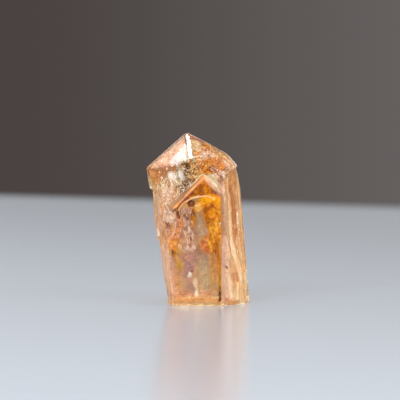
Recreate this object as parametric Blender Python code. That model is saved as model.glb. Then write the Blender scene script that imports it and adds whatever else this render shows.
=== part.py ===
"""Imperial topaz: one natural crystal, a leaning prism with a pointed top and a broken foot.

The crystal is a single piece. Its flat growth faces are planes, each given by the way it
turns round the long axis, by its tilt and by its distance. A second growth, the front plate
with its gable top, stands proud of the body. Narrow ribs give the lengthwise striation, thin terraces
the etched face and the layered point, and breaks are cut away along the edges and the foot.
"""
import math
import random

import bmesh
import bpy
from mathutils import Matrix, Vector

MM = 0.001
HEIGHT = 20.0 * MM            # nominal, from the flat foot to the tip
LEAN_LEFT = 7.5               # degrees that the long axis leans to the left
LEAN_BACK = 5.0               # degrees that it leans away from the front
ROOT = 0.8 * MM               # how deep a growth layer or rib starts inside the body
RIB_WIDTHS = (0.16, 0.5)      # narrowest and widest rib, in mm
RIB_GAPS = (0.12, 0.5)        # bare face between two ribs, in mm
RIB_FEET = (1.0, 5.0)         # where a rib that stops short of the foot begins, in mm
RIBS_TO_FOOT = 0.7            # share of the ribs that run down into the foot
RIB_TIP_SLANT = 0.8           # sideways run of a rib's slanted tip, for each unit of its height
TERRACES = 16
TERRACE_ROOT = 0.3 * MM       # how deep a terrace starts inside the body
TERRACE_SLOPE = 0.6           # how far a terrace's rim slopes in, for each unit that it rises
TERRACE_RISES = (0.04, 0.11)  # lowest and highest terrace, in mm
BREAK_SLANT = 0.25            # how far the top of a broken edge slopes, for each unit of its depth
BREAK_DEPTH = 3.0 * MM        # more than any edge sticks out past its break
FOOT_RIM = 6.25               # distance of the chips round the foot from its middle, in mm
FOOT_CHIP_HEIGHT = -0.9       # height of those chips' centres, in mm
SEED = 31
AMBER_PINK = (0.80, 0.42, 0.22, 1.0)


def growth_frame():
    """Crystal directions: x to the right, y away from the front, z up along the long axis."""
    lean = Vector((-math.tan(math.radians(LEAN_LEFT)), math.tan(math.radians(LEAN_BACK)), 1.0))
    up = lean.normalized()
    right = (Vector((1.0, 0.0, 0.0)) - up * up.x).normalized()
    away = up.cross(right)
    return Matrix((right, away, up)).transposed()


GROWTH = growth_frame()
AXIS = GROWTH @ Vector((0.0, 0.0, 1.0))


def turned(turn):
    """Level direction, turned by so many degrees from the right towards the front."""
    return Vector((math.cos(math.radians(turn)), -math.sin(math.radians(turn)), 0.0))


def side_face(turn, out, flare=0.0):
    """Prism face at a distance in mm from the axis; flare opens it upwards by some degrees."""
    lean = math.radians(flare)
    outward = GROWTH @ (turned(turn) * math.cos(lean) - Vector((0.0, 0.0, math.sin(lean))))
    return outward, outward * out * MM


def point_face(turn, tilt, meets):
    """Sloping top face, tilted from level, that would meet the axis at a height in mm."""
    slope = math.radians(tilt)
    outward = GROWTH @ (turned(turn) * math.sin(slope) + Vector((0.0, 0.0, math.cos(slope))))
    return outward, AXIS * meets * MM


BELOW_FOOT = (Vector((0.0, 0.0, -1.0)), Vector((0.0, 0.0, -0.1 * HEIGHT)))

# The body's pointed top, from the front ridge round both ways.
POINT = {
    "top front left": point_face(122, 49, 19.95),
    "top front ridge": point_face(76, 45, 19.93),
    "top front right": point_face(53.5, 50.5, 20.2),
    "top right crest": point_face(42, 41.5, 20.0),
    "top right shoulder": point_face(26, 57, 23.1),
    "top back right shoulder": point_face(-16.5, 56, 23.2),
    "top back right": point_face(-35.5, 43, 20.2),
    "top back left": point_face(-132, 49, 19.7),
}

# The body's long sides. Most flare a little, as the crystal is wider at its shoulders.
SIDES = {
    "left": side_face(-173.5, 4.43, 1.5),
    "left foot": side_face(-176, 4.16, 2.7),
    "front left": side_face(119, 2.9),
    "front": side_face(89.5, 3.35),
    "front right": side_face(65.5, 4.05, 1.7),
    "front right foot": side_face(52, 4.1, 4.3),
    "right front": side_face(36.5, 4.5, 1.8),
    "right": side_face(1, 4.86, 2.7),
    "back right": side_face(-35, 4.4),
    "back": side_face(-62, 4.0),
    "back left": side_face(-118, 3.9),
    "left back": side_face(-145, 4.1),
}

BODY = {**SIDES, **POINT}

# The front plate, a second growth that ends below the point in a gable of its own.
PLATE = {
    "plate front": side_face(94.5, 4.12, -0.9),
    "plate left": side_face(149, 4.91, -2.6),
    "plate right": side_face(16, 2.66, 6.8),
    "gable left": point_face(153, 42, 14.8),
    "gable right": point_face(26.5, 58, 19.2),
    "plate outer left": side_face(-173.5, 4.51, 1.5),
    "plate outer left foot": side_face(-176, 4.24, 2.7),
    "plate behind": side_face(-90, -0.2),
}


def solid_from_faces(name, faces):
    """Convex solid that is left of a large cube once every face has cut it."""
    mesh = bmesh.new()
    bmesh.ops.create_cube(mesh, size=4.0 * HEIGHT)
    for outward, point in faces:
        everything = mesh.verts[:] + mesh.edges[:] + mesh.faces[:]
        cut = bmesh.ops.bisect_plane(
            mesh, geom=everything, dist=1e-8, plane_co=point, plane_no=outward, clear_outer=True)
        rim = [item for item in cut["geom_cut"] if isinstance(item, bmesh.types.BMEdge)]
        if rim:
            bmesh.ops.edgeloop_fill(mesh, edges=rim)
    return object_from_mesh(name, mesh)


def object_from_mesh(name, mesh):
    """Scene object that holds the mesh, with every face turned outwards."""
    bmesh.ops.recalc_face_normals(mesh, faces=mesh.faces)
    data = bpy.data.meshes.new(name)
    mesh.to_mesh(data)
    mesh.free()
    piece = bpy.data.objects.new(name, data)
    bpy.context.collection.objects.link(piece)
    return piece


def combine(crystal, piece, operation):
    """Boolean of the crystal with a helper piece, which is used up."""
    step = crystal.modifiers.new("step", "BOOLEAN")
    step.operation = operation
    step.solver = "EXACT"
    step.object = piece
    evaluated = crystal.evaluated_get(bpy.context.evaluated_depsgraph_get())
    result = bpy.data.meshes.new_from_object(evaluated)
    crystal.modifiers.clear()
    crystal.data = result
    bpy.data.objects.remove(piece)


def face_directions(face):
    """Directions up a face and to the right across it, seen from outside."""
    outward = face[0]
    along = (AXIS - outward * AXIS.dot(outward)).normalized()
    return along, along.cross(outward)


def spot(face, across, height):
    """Point on a face, so many mm up the axis and so many mm across."""
    outward, point = face
    sideways = face_directions(face)[1]
    level = AXIS * height * MM
    on_face = level + outward * (point - level).dot(outward)
    return on_face + sideways * across * MM


def terrace(face, corners, rise):
    """Thin flat-topped step on a face; corners are (across, height) pairs in mm."""
    outward = face[0]
    rim = [spot(face, across, height) for across, height in corners]
    middle = sum(rim, Vector()) / len(rim)
    mesh = bmesh.new()
    for corner in rim:
        inward = (middle - corner).normalized() * rise * TERRACE_SLOPE
        mesh.verts.new(corner - outward * TERRACE_ROOT)
        mesh.verts.new(corner + (outward * rise + inward) * MM)
    bmesh.ops.convex_hull(mesh, input=mesh.verts)
    return object_from_mesh("terrace", mesh)


def growth_layer(form, name, rise, margin, limits=()):
    """Thin layer on one face of a form, kept inside the form's other faces; lengths in mm."""
    outward, point = form[name]
    faces = [(-outward, point - outward * ROOT), *limits]
    for other, (facing, place) in form.items():
        shift = rise if other == name else -margin
        faces.append((facing, place + facing * shift * MM))
    return solid_from_faces("layer", faces)


def rib(form, name, across, width, bottom, top, rise):
    """Narrow rib along a side face, ending upwards in a small slanted tip; lengths in mm."""
    face = form[name]
    along, sideways = face_directions(face)
    limits = [
        (-sideways, spot(face, across - width / 2.0, 0.0)),
        (sideways, spot(face, across + width / 2.0, 0.0)),
        ((along + sideways * RIB_TIP_SLANT).normalized(), spot(face, across, top)),
        (-along, spot(face, across, bottom)),
    ]
    margin = 0.02 + 0.3 * rise
    return growth_layer(form, name, rise, margin, limits)


def hollow_chip(centre, radius, stretch):
    """Rounded cutter that leaves a shallow shell-shaped break; places and sizes in mm."""
    mesh = bmesh.new()
    bmesh.ops.create_icosphere(mesh, subdivisions=4, radius=radius * MM)
    stretched = GROWTH.to_4x4() @ Matrix.Diagonal((1.0, 1.0, stretch, 1.0))
    bmesh.ops.transform(mesh, matrix=Matrix.Translation(Vector(centre) * MM) @ stretched, verts=mesh.verts)
    return object_from_mesh("chip", mesh)


def split_slab(face, bottom, top, start, stop):
    """Cutter that takes away what lies outside a face, between two heights and two sides in mm."""
    outward, point = face
    sideways = face_directions(face)[1]
    slanted = (AXIS + outward * BREAK_SLANT).normalized()
    faces = [
        (-outward, point),
        (outward, point + outward * BREAK_DEPTH),
        (slanted, spot(face, 0.0, top)),
        (-AXIS, AXIS * bottom * MM),
        (-sideways, spot(face, start, top)),
        (sideways, spot(face, stop, top)),
    ]
    return solid_from_faces("split", faces)


# ---------------------------------------------------------------- growth marks and breaks
def add_ribs(crystal, chance, form, name, start, stop, top, rise):
    """Ribs of uneven width, length and rise, side by side from start to stop in mm."""
    below_foot = -1.5
    across = start
    while across < stop:
        width = chance.uniform(*RIB_WIDTHS)
        bottom = below_foot if chance.random() < RIBS_TO_FOOT else chance.uniform(*RIB_FEET)
        tip = top * chance.uniform(0.55, 1.0)
        height = rise * chance.uniform(0.4, 1.0)
        piece = rib(form, name, across + width / 2.0, width, bottom, tip, height)
        combine(crystal, piece, "UNION")
        across += width + chance.uniform(*RIB_GAPS)


def add_striation(crystal, chance):
    """Lengthwise ribs round the prism; the right side shows them most."""
    add_ribs(crystal, chance, BODY, "right front", -0.9, 1.5, 15.0, 0.09)
    add_ribs(crystal, chance, BODY, "right", -1.4, 1.6, 15.0, 0.08)
    add_ribs(crystal, chance, BODY, "back right", -1.6, 1.6, 15.0, 0.12)
    add_ribs(crystal, chance, BODY, "back", -1.4, 1.6, 15.0, 0.10)
    add_ribs(crystal, chance, BODY, "back left", -1.6, 1.6, 14.5, 0.12)
    add_ribs(crystal, chance, BODY, "left back", -1.4, 1.4, 14.5, 0.08)
    add_ribs(crystal, chance, PLATE, "plate left", -1.2, 0.9, 10.0, 0.06)


def add_etched_terraces(crystal, chance):
    """Small uneven steps that roughen the front left face above the gable."""
    for _ in range(TERRACES):
        across = chance.uniform(-2.9, 1.6)
        height = chance.uniform(12.3, 16.0)
        width = chance.uniform(0.25, 0.7)
        length = width * chance.uniform(1.2, 2.6)
        corners = [
            (across - width / 2.0, height - length / 2.0),
            (across + width / 2.0, height - length * chance.uniform(0.2, 0.5)),
            (across + width * chance.uniform(0.2, 0.5), height + length * chance.uniform(0.2, 0.5)),
            (across - width * chance.uniform(0.1, 0.5), height + length / 2.0),
        ]
        piece = terrace(SIDES["front left"], corners, chance.uniform(*TERRACE_RISES))
        combine(crystal, piece, "UNION")


def add_point_layers(crystal):
    """Thin growth layers on the pointed top: face, rise and margin in mm, and what ends them."""
    layers = [
        ("top front right", 0.05, 0.28, [side_face(20, 2.9)]),
        ("top front right", 0.10, 0.75, [side_face(160, -1.0)]),
        ("top right crest", 0.06, 0.30, [side_face(-60, 0.9)]),
        ("top right shoulder", 0.05, 0.22, []),
        ("top front left", 0.05, 0.30, [side_face(190, 3.1)]),
        ("top front left", 0.09, 0.95, []),
        ("top back left", 0.06, 0.35, []),
        ("top back left", 0.11, 0.9, [side_face(-100, 2.4)]),
        ("top back right", 0.06, 0.35, [side_face(-60, 3.0)]),
    ]
    for name, rise, margin, limits in layers:
        combine(crystal, growth_layer(BODY, name, rise, margin, limits), "UNION")


def break_edges(crystal):
    """Breaks along the long edges, the shoulder, the back and the rim of the foot."""
    left_break = side_face(-172.0, 5.40, -4.2)
    combine(crystal, split_slab(left_break, 9.4, 13.6, -1.6, 1.9), "DIFFERENCE")
    lower_left_break = side_face(-176.0, 4.35, 0.6)
    combine(crystal, split_slab(lower_left_break, 0.8, 8.0, -2.4, 1.9), "DIFFERENCE")
    right_break = side_face(0.0, 6.165, -3.0)
    combine(crystal, split_slab(right_break, 12.5, 14.9, -1.9, 2.2), "DIFFERENCE")
    back_break = side_face(-50.0, 3.75, -3.0)
    combine(crystal, split_slab(back_break, -1.0, 3.4, -0.2, 3.0), "DIFFERENCE")
    for centre, radius, stretch in [
        ((4.15, 0.9, 15.4), 1.0, 0.4),        # right shoulder
        ((-6.6, 8.2, 10.5), 5.0, 1.0),        # back left edge
        ((5.6, 6.3, 9.0), 4.6, 1.0),          # back right edge
    ]:
        combine(crystal, hollow_chip(centre, radius, stretch), "DIFFERENCE")
    for turn, radius in [(8, 2.2), (172, 2.0), (205, 2.4), (248, 2.0), (287, 2.3), (331, 2.1)]:
        rim = turned(turn) * FOOT_RIM
        combine(crystal, hollow_chip((rim.x, rim.y, FOOT_CHIP_HEIGHT), radius, 1.0), "DIFFERENCE")


def cut_foot(crystal):
    """The flat break that the crystal stands on."""
    mesh = bmesh.new()
    bmesh.ops.create_cube(mesh, size=2.0 * HEIGHT)
    bmesh.ops.translate(mesh, vec=(0.0, 0.0, -HEIGHT), verts=mesh.verts)
    combine(crystal, object_from_mesh("ground", mesh), "DIFFERENCE")


def centre_over_origin(crystal):
    """Puts the middle of the crystal's footprint box on the origin."""
    across = [corner.co.x for corner in crystal.data.vertices]
    away = [corner.co.y for corner in crystal.data.vertices]
    middle = Vector((min(across) + max(across), min(away) + max(away), 0.0)) / 2.0
    crystal.data.transform(Matrix.Translation(-middle))


def topaz_material():
    """Clear orange-pink topaz."""
    material = bpy.data.materials.new("orange_pink_topaz")
    material.use_nodes = True
    surface = material.node_tree.nodes["Principled BSDF"]
    surface.inputs["Base Color"].default_value = AMBER_PINK
    surface.inputs["Roughness"].default_value = 0.06
    surface.inputs["Metallic"].default_value = 0.0
    surface.inputs["IOR"].default_value = 1.62
    surface.inputs["Transmission Weight"].default_value = 0.9
    return material


def main():
    for item in list(bpy.data.objects):
        bpy.data.objects.remove(item)
    chance = random.Random(SEED)
    crystal = solid_from_faces("topaz_crystal", [BELOW_FOOT, *BODY.values()])
    plate = solid_from_faces("front_plate", [BELOW_FOOT, *PLATE.values(), *POINT.values()])
    combine(crystal, plate, "UNION")
    add_striation(crystal, chance)
    add_etched_terraces(crystal, chance)
    add_point_layers(crystal)
    break_edges(crystal)
    cut_foot(crystal)
    centre_over_origin(crystal)
    crystal.data.materials.clear()
    crystal.data.materials.append(topaz_material())


main()
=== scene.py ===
"""Imperial topaz: one clear orange-pink crystal with stained cracks inside, standing on its foot."""
import math
import random

import bmesh
import bpy
import numpy as np
from mathutils import Matrix, Vector, noise
from mathutils.bvhtree import BVHTree
from mathutils.geometry import delaunay_2d_cdt


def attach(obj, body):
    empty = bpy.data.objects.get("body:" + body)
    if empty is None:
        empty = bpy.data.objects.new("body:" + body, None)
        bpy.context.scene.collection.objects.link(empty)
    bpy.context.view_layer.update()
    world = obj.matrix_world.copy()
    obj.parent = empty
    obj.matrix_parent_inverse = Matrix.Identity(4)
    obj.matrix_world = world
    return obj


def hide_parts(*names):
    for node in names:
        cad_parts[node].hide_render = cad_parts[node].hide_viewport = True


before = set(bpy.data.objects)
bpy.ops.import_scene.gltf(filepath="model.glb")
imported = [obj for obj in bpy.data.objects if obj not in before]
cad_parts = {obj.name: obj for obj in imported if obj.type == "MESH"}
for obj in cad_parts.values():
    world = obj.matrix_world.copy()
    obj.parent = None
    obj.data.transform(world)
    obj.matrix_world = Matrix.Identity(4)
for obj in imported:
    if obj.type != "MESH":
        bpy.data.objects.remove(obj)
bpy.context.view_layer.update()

MM = 0.001

# ------------------------------------------------------------------ viewpoint
# A long lens looks at the crystal's front plate from just above the level of the table. It
# stands far off, so that the prism's long edges stay nearly parallel.
AIM = Vector((0.253, -0.780, 11.85)) * MM
LOOK_DOWN = math.radians(3.5)
CAMERA_DISTANCE = 260.0 * MM
LENS = 202.4                  # focal length in mm, for a sensor 36 mm wide

camera = bpy.data.objects.new("camera", bpy.data.cameras.new("camera"))
camera.data.lens = LENS
camera.data.sensor_width = 36.0
camera.data.clip_start = 0.01
camera.data.clip_end = 3.0
back_from_aim = Vector((0.0, -math.cos(LOOK_DOWN), math.sin(LOOK_DOWN)))
camera.location = AIM + back_from_aim * CAMERA_DISTANCE
camera.rotation_euler = back_from_aim.to_track_quat("Z", "Y").to_euler()
bpy.context.collection.objects.link(camera)
bpy.context.scene.camera = camera

# ------------------------------------------------------------------ crystal body
# The whole stone: one clear crystal that grew as a long prism, with glassy flat faces, fine
# lengthwise grooves from uneven growth, and edges worn a little blunt.
LEAN_LEFT = math.radians(7.5)
LEAN_BACK = math.radians(5.0)
GRAIN = 0.1 * MM              # mesh size of the worn surface
GABLE_LINE = ((-3.06, 10.99), (0.65, 14.65), (2.65, 12.5))    # the front plate's upper edge, in mm
GABLE_BLUNT = 0.35            # how far the wear reaches from that edge, in mm

up = Vector((-math.tan(LEAN_LEFT), math.tan(LEAN_BACK), 1.0)).normalized()
right = (Vector((1.0, 0.0, 0.0)) - up * up.x).normalized()
GROWTH = Matrix((right, up.cross(right), up)).transposed()


def worn_copy(node, grain):
    """Even fine mesh over a solid's surface, with its sharp edges taken off."""
    body = bpy.data.objects.new("crystal_body", node.data.copy())
    bpy.context.collection.objects.link(body)
    remesh = body.modifiers.new("remesh", "REMESH")
    remesh.mode = "VOXEL"
    remesh.voxel_size = grain
    remesh.use_smooth_shade = True
    smooth = body.modifiers.new("smooth", "SMOOTH")
    smooth.factor = 0.5
    smooth.iterations = 2
    evaluated = body.evaluated_get(bpy.context.evaluated_depsgraph_get())
    mesh = bpy.data.meshes.new_from_object(evaluated)
    body.modifiers.clear()
    body.data = mesh
    return body


def wear(body, rounds, share):
    """Evens out the surface; share gives how much of it, from places in mm."""
    mesh = body.data
    count = len(mesh.vertices)
    places = np.zeros(count * 3)
    mesh.vertices.foreach_get("co", places)
    places = places.reshape(-1, 3)
    ends = np.zeros(len(mesh.edges) * 2, dtype=np.int64)
    mesh.edges.foreach_get("vertices", ends)
    ends = ends.reshape(-1, 2)
    joined = np.bincount(ends.ravel(), minlength=count)[:, None]
    part = np.clip(share(places / MM), 0.0, 1.0)[:, None]
    total = np.zeros_like(places)
    for _ in range(rounds):
        for axis in range(3):
            total[:, axis] = np.bincount(ends[:, 0], places[ends[:, 1], axis], count)
            total[:, axis] += np.bincount(ends[:, 1], places[ends[:, 0], axis], count)
        shift = (total / joined - places) * part
        shift[:, 2] *= places[:, 2] > 0.05 * MM
        places += shift * 0.7
    mesh.vertices.foreach_set("co", places.ravel())
    mesh.update()


def far_side(places):
    """The side that grew in contact with the rock."""
    return (places[:, 1] - 0.3) / 1.2


def near_gable(places):
    """The edges of the pointed front plate."""
    share = np.zeros(len(places))
    for (x0, z0), (x1, z1) in zip(GABLE_LINE, GABLE_LINE[1:]):
        run = x1 - x0
        rise = z1 - z0
        along = (places[:, 0] - x0) * run + (places[:, 2] - z0) * rise
        along = np.clip(along / (run ** 2 + rise ** 2), 0.0, 1.0)
        off = np.hypot(places[:, 0] - x0 - along * run, places[:, 2] - z0 - along * rise)
        share = np.maximum(share, 1.4 - off / GABLE_BLUNT)
    return share * (places[:, 1] < -2.0)


def mark(body, name, share):
    """Stores a share, found from places in mm, on the surface for its material."""
    places = np.zeros(len(body.data.vertices) * 3)
    body.data.vertices.foreach_get("co", places)
    values = np.clip(share(places.reshape(-1, 3) / MM), 0.0, 1.0)
    body.data.attributes.new(name, "FLOAT", "POINT").data.foreach_set("value", values)


def facing(normals, turn):
    """How squarely each normal faces a way round the prism, from 0 to 1; turn as in degrees."""
    way = np.array((math.cos(math.radians(turn)), -math.sin(math.radians(turn)), 0.0))
    return np.clip((normals @ way - 0.9) / 0.09, 0.0, 1.0)


def grow_relief(body):
    """Raises lengthwise grooves on the prism faces and low bumps on the etched ones."""
    count = len(body.data.vertices)
    places = np.zeros(count * 3)
    normals = np.zeros(count * 3)
    body.data.vertices.foreach_get("co", places)
    body.data.vertices.foreach_get("normal", normals)
    places = places.reshape(-1, 3)
    normals = normals.reshape(-1, 3)
    axes = np.array(GROWTH)
    grown = places @ axes / MM
    faced = normals @ axes
    prism = np.clip((0.45 - np.abs(faced[:, 2])) / 0.2, 0.0, 1.0)
    etched = facing(faced, 119.0) + 0.7 * facing(faced, 149.0)
    right_side = np.clip(faced[:, 0] * 1.4, 0.0, 1.0)
    groove = np.array([noise.noise(Vector((x * 2.6, y * 2.6, z * 0.10))) for x, y, z in grown])
    fine = np.array([noise.noise(Vector((x * 5.5, y * 5.5, z * 0.25))) for x, y, z in grown])
    pits = np.array([
        noise.fractal(Vector((x * 2.6, y * 2.6, z * 1.6)), 0.8, 2.0, 3) for x, y, z in grown])
    back = np.clip(faced[:, 1] * 1.4, 0.0, 1.0)
    rise = prism * (0.003 + 0.030 * right_side + 0.012 * back) * (groove + 0.5 * fine)
    rise += etched * 0.030 * pits + 0.004 * pits
    rise *= np.clip(places[:, 2] / (0.4 * MM), 0.0, 1.0)
    places += normals * (rise * MM)[:, None]
    body.data.vertices.foreach_set("co", places.ravel())
    body.data.update()


def paint(red, green, blue):
    """Colour from its screen values, 0 to 255."""
    return tuple((value / 255.0) ** 2.2 for value in (red, green, blue)) + (1.0,)


def add_node(tree, kind, settings=(), **sockets):
    """New shader node. A socket's name has _ for a space; its value may be another socket."""
    node = tree.nodes.new("ShaderNode" + kind)
    for name, value in dict(settings).items():
        setattr(node, name, value)
    for name, value in sockets.items():
        socket = node.inputs[name.replace("_", " ")]
        if isinstance(value, bpy.types.NodeSocket):
            tree.links.new(value, socket)
        else:
            socket.default_value = value
    return node


def sums(tree, operation, *values):
    """Output of a math node; each value is a number or a socket."""
    node = add_node(tree, "Math", {"operation": operation})
    for socket, value in zip(node.inputs, values):
        if isinstance(value, bpy.types.NodeSocket):
            tree.links.new(value, socket)
        else:
            socket.default_value = value
    return node.outputs["Value"]


def rising(tree, value, low, high, first=0.0, last=1.0):
    """Smooth step from one value to another while the input goes from low to high."""
    node = add_node(
        tree, "MapRange", {"interpolation_type": "SMOOTHSTEP"}, Value=value,
        From_Min=low, From_Max=high, To_Min=first, To_Max=last)
    return node.outputs["Result"]


def along_growth(tree, stretch):
    """Place in mm in the crystal's growth directions, drawn out lengthwise so many times."""
    scale = add_node(tree, "CombineXYZ", X=MM, Y=MM, Z=sums(tree, "MULTIPLY", stretch, MM))
    place = add_node(tree, "TexCoord").outputs["Object"]
    mapping = add_node(
        tree, "Mapping", {"vector_type": "TEXTURE"}, Vector=place, Rotation=GROWTH.to_euler(),
        Scale=scale.outputs["Vector"])
    return mapping.outputs["Vector"]


def let_lamps_through(tree, shader, open_shader):
    """Shows the shader, but lets the light of a lamp pass by way of the open one."""
    lamp_light = add_node(tree, "LightPath").outputs["Is Shadow Ray"]
    lit = add_node(tree, "MixShader", Fac=lamp_light)
    tree.links.new(shader, lit.inputs[1])
    tree.links.new(open_shader, lit.inputs[2])
    tree.links.new(lit.outputs["Shader"], tree.nodes["Material Output"].inputs["Surface"])


crystal = worn_copy(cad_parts["topaz_crystal"], GRAIN)
wear(crystal, 12, far_side)
wear(crystal, 4, near_gable)
grow_relief(crystal)
mark(crystal, "dull", near_gable)

topaz = bpy.data.materials.new("topaz")
topaz.use_nodes = True
tree = topaz.node_tree
surface = tree.nodes["Principled BSDF"]
away = add_node(tree, "SeparateXYZ", Vector=along_growth(tree, 1.0)).outputs["Y"]
dull = add_node(tree, "Attribute", {"attribute_name": "dull"}).outputs["Fac"]
tinted = add_node(
    tree, "Mix", {"data_type": "RGBA"}, Factor=dull,
    A=(0.94, 0.95, 0.91, 1.0), B=(0.90, 0.66, 0.36, 1.0))
tree.links.new(tinted.outputs["Result"], surface.inputs["Base Color"])
etched_roughness = rising(tree, away, -1.0, 1.5, 0.03, 0.35)
roughness = sums(tree, "MAXIMUM", etched_roughness, sums(tree, "MULTIPLY", dull, 0.45))
tree.links.new(roughness, surface.inputs["Roughness"])
surface.inputs["IOR"].default_value = 1.62
surface.inputs["Transmission Weight"].default_value = 1.0
absorption = add_node(tree, "VolumeAbsorption", Color=(0.96, 0.66, 0.06, 1.0), Density=130.0)
tree.links.new(absorption.outputs["Volume"], tree.nodes["Material Output"].inputs["Volume"])
open_glass = add_node(tree, "BsdfTransparent", Color=(0.585, 0.67, 0.70, 1.0))
let_lamps_through(tree, surface.outputs["BSDF"], open_glass.outputs["BSDF"])
crystal.data.materials.clear()
crystal.data.materials.append(topaz)
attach(crystal, "root")
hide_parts("topaz_crystal")

# ------------------------------------------------------------------ stained cracks
# Old cracks that iron-bearing water ran into and that healed again: thin crumpled films,
# orange to brown, which lie close behind the growth faces.
ORIGIN = Vector((1.065, -0.780, 0.0))     # where the crystal's long axis meets the table, in mm
OUT_OF_STONE = 20.0           # a distance in mm that is well clear of the crystal
MOST_COVER = 0.6              # thickest stone kept over a film on a steep face, in mm
HALF_FILM = 0.012             # half the thickness of a film, in mm
EDGE_SEED = 31                # without it the films' ragged edges would differ each run
noise.seed_set(EDGE_SEED)


def face_plane(turn, tilt, distance):
    """Growth plane: its outward direction, and a point on it in mm. A prism face has a tilt of 90."""
    turn = math.radians(turn)
    tilt = math.radians(tilt)
    level = math.sin(tilt)
    outward = GROWTH @ Vector((math.cos(turn) * level, -math.sin(turn) * level, math.cos(tilt)))
    return outward, ORIGIN + outward * distance


PLATE = face_plane(94.5, 89.1, 4.12)
GABLE_LEFT = face_plane(153.0, 42.0, 11.0)
GABLE_RIGHT = face_plane(26.5, 58.0, 10.17)
PLATE_LEFT = face_plane(149.0, 87.4, 4.91)
FRONT = face_plane(89.5, 90.0, 3.35)
FRONT_LEFT = face_plane(119.0, 90.0, 2.9)
FRONT_RIGHT = face_plane(65.5, 91.7, 4.05)
RIGHT_FRONT = face_plane(36.5, 91.8, 4.5)
BACK_LEFT = face_plane(-118.0, 90.0, 3.9)
BACK = face_plane(-62.0, 90.0, 4.0)
TOP_LEFT = face_plane(122.0, 49.0, 13.09)
TOP_RIGHT = face_plane(53.5, 50.5, 12.85)


def inside_outline(outline, x, z):
    """True if a place lies inside a closed outline of (x, z) pairs."""
    inside = False
    for (x0, z0), (x1, z1) in zip(outline, outline[1:] + outline[:1]):
        if (z0 > z) != (z1 > z) and x < x0 + (z - z0) * (x1 - x0) / (z1 - z0):
            inside = not inside
    return inside


def ragged_outline(outline, step, ragged, seed):
    """The outline with a point every step, pushed to and fro by a share of ragged mm."""
    points = []
    for (x0, z0), (x1, z1) in zip(outline, outline[1:] + outline[:1]):
        pieces = max(1, round(math.hypot(x1 - x0, z1 - z0) / step))
        for piece in range(pieces):
            x = x0 + (x1 - x0) * piece / pieces
            z = z0 + (z1 - z0) * piece / pieces
            push = noise.noise_vector(Vector((x * 2.0, z * 2.0, seed)))
            points.append((x + push.x * ragged, z + push.y * ragged))
    return points


def behind_plane(plane, x, z, depth):
    """The place, in mm, that is seen from the front at x and z and lies so deep behind a plane."""
    outward, on_plane = plane
    y = on_plane.y - (outward.x * (x - on_plane.x) + outward.z * (z - on_plane.z)) / outward.y
    return Vector((x, y, z)) - outward * depth


skin = BVHTree.FromObject(crystal, bpy.context.evaluated_depsgraph_get())


def inside_skin(place, cover=0.06):
    """The place, in mm, moved straight forth or back into the stone, or None if it has no room."""
    before = Vector((place.x, -OUT_OF_STONE, place.z)) * MM
    beyond = Vector((place.x, OUT_OF_STONE, place.z)) * MM
    front = skin.ray_cast(before, Vector((0.0, 1.0, 0.0)))
    back = skin.ray_cast(beyond, Vector((0.0, -1.0, 0.0)))
    if front[0] is None or back[0] is None:
        return None
    nearest = front[0].y / MM + min(MOST_COVER, cover / max(0.1, abs(front[1].y)))
    farthest = back[0].y / MM - min(MOST_COVER, cover / max(0.1, abs(back[1].y)))
    if nearest > farthest:
        return None
    return Vector((place.x, min(max(place.y, nearest), farthest), place.z))


def crack_film(name, material, outline, plane, depth, crumple=0.1, ragged=0.12, waves=1.8,
               step=0.1, seed=1.0):
    """Thin closed film behind a growth plane. Its outline is seen from the front; all in mm."""
    centre = Vector((sum(x for x, _ in outline), sum(z for _, z in outline))) / len(outline)

    def seat(point):
        """Where the film lies at this point, or None where the stone has no room for it."""
        wave = noise.fractal(Vector((point.x * waves, point.y * waves, seed)), 0.7, 2.0, 4)
        return inside_skin(behind_plane(plane, point.x, point.y, depth - crumple * wave))

    def drawn_in(point):
        """The point, drawn towards the middle of the outline until the film has room there."""
        while seat(point) is None:
            point = point.lerp(centre, 0.04)
        return point

    frayed = ragged_outline(outline, step, ragged, seed)
    rim = [tuple(drawn_in(Vector(point))) for point in frayed]
    xs = [x for x, _ in rim]
    zs = [z for _, z in rim]
    inner = [
        (x + step * 0.5 * (row % 2), z)
        for row, z in enumerate(np.arange(min(zs), max(zs), step * 0.866))
        for x in np.arange(min(xs), max(xs), step)
    ]
    inner = [(x, z) for x, z in inner if inside_outline(rim, x, z) and seat(Vector((x, z)))]
    flat = [Vector(point) for point in rim + inner]
    flat, _, triangles, *_ = delaunay_2d_cdt(flat, [], [list(range(len(rim)))], 1, 1e-5)
    reaches = [min(math.hypot(x - a, z - b) for a, b in rim) for x, z in flat]
    mesh = bmesh.new()
    inward = mesh.verts.layers.float.new("inward")
    near = []
    far = []
    for point, reach in zip(flat, reaches):
        middle = seat(drawn_in(point))
        half = plane[0] * HALF_FILM * min(1.0, reach / 0.1)
        near.append(mesh.verts.new((middle + half) * MM))
        far.append(near[-1] if reach < 1e-4 else mesh.verts.new((middle - half) * MM))
        near[-1][inward] = reach / max(reaches)
        far[-1][inward] = reach / max(reaches)
    for corners in triangles:
        front = [near[corner] for corner in corners]
        behind = [far[corner] for corner in reversed(corners)]
        mesh.faces.new(front)
        if set(front) != set(behind):
            mesh.faces.new(behind)
    bmesh.ops.recalc_face_normals(mesh, faces=mesh.faces)
    return inner_piece(name, mesh, material)


def inner_piece(name, mesh, material):
    """Object inside the crystal that rides along with it."""
    piece = bpy.data.objects.new(name, bpy.data.meshes.new(name))
    mesh.to_mesh(piece.data)
    mesh.free()
    bpy.context.collection.objects.link(piece)
    piece.data.materials.append(material)
    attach(piece, "root")
    return piece


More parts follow.
